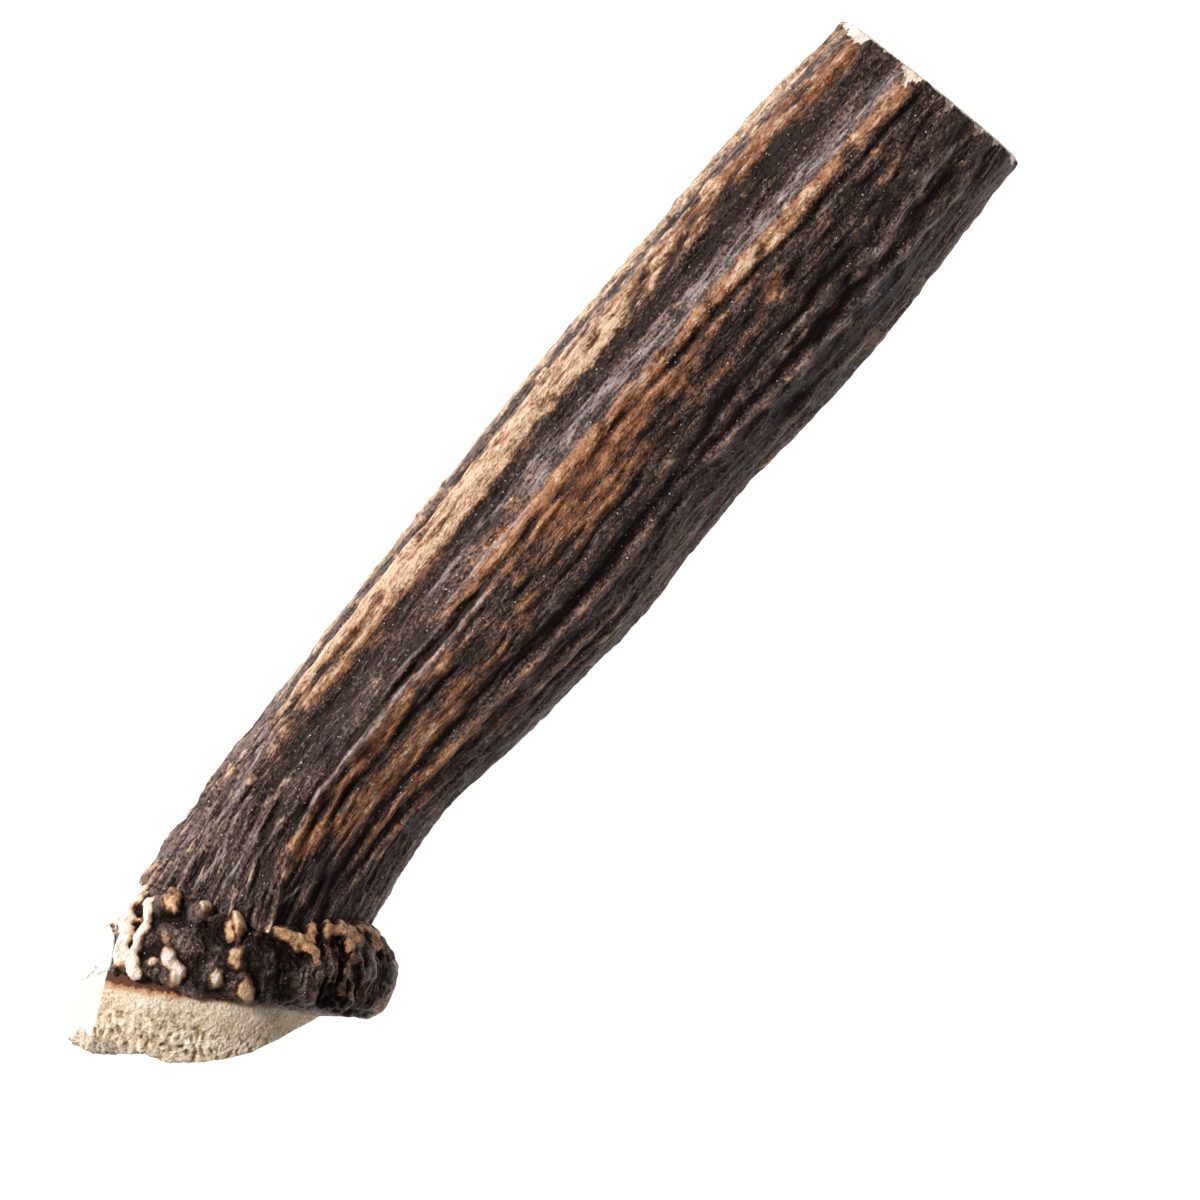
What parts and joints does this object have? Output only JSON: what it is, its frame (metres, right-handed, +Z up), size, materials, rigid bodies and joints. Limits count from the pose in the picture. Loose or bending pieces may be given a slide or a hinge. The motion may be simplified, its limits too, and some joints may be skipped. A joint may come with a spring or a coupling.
{
  "type": "sawn antler base",
  "caption": "Sawn length of stag antler with its bony base, knobbed burr and dark ridged beam, kept as a blank for carving or for a handle.",
  "frame": {"origin": "middle of the bottom of the bounding box, on the surface that the antler lies on", "axes": "+X along the beam, from the burr to the sawn end; +Z up as the antler lies on its side; +Y towards the side that carries the sawn facet"},
  "size_m": [0.181, 0.0396, 0.0405],
  "materials": {
    "bark": "dark brown grooved antler bark with worn tan ridges, satin",
    "spongy_bone": "porous tan spongy bone, matte",
    "burr": "dark brown knobbed bone with worn pale pearls, satin",
    "stub_bone": "cream granular bone, matte, nearly white where it is sawn"
  },
  "bodies": {
    "root": {"beam_compact_bone": "bark", "beam_spongy_core": "spongy_bone", "burr_ring": "burr", "pedicle_stub": "stub_bone"}
  },
  "joints": []
}
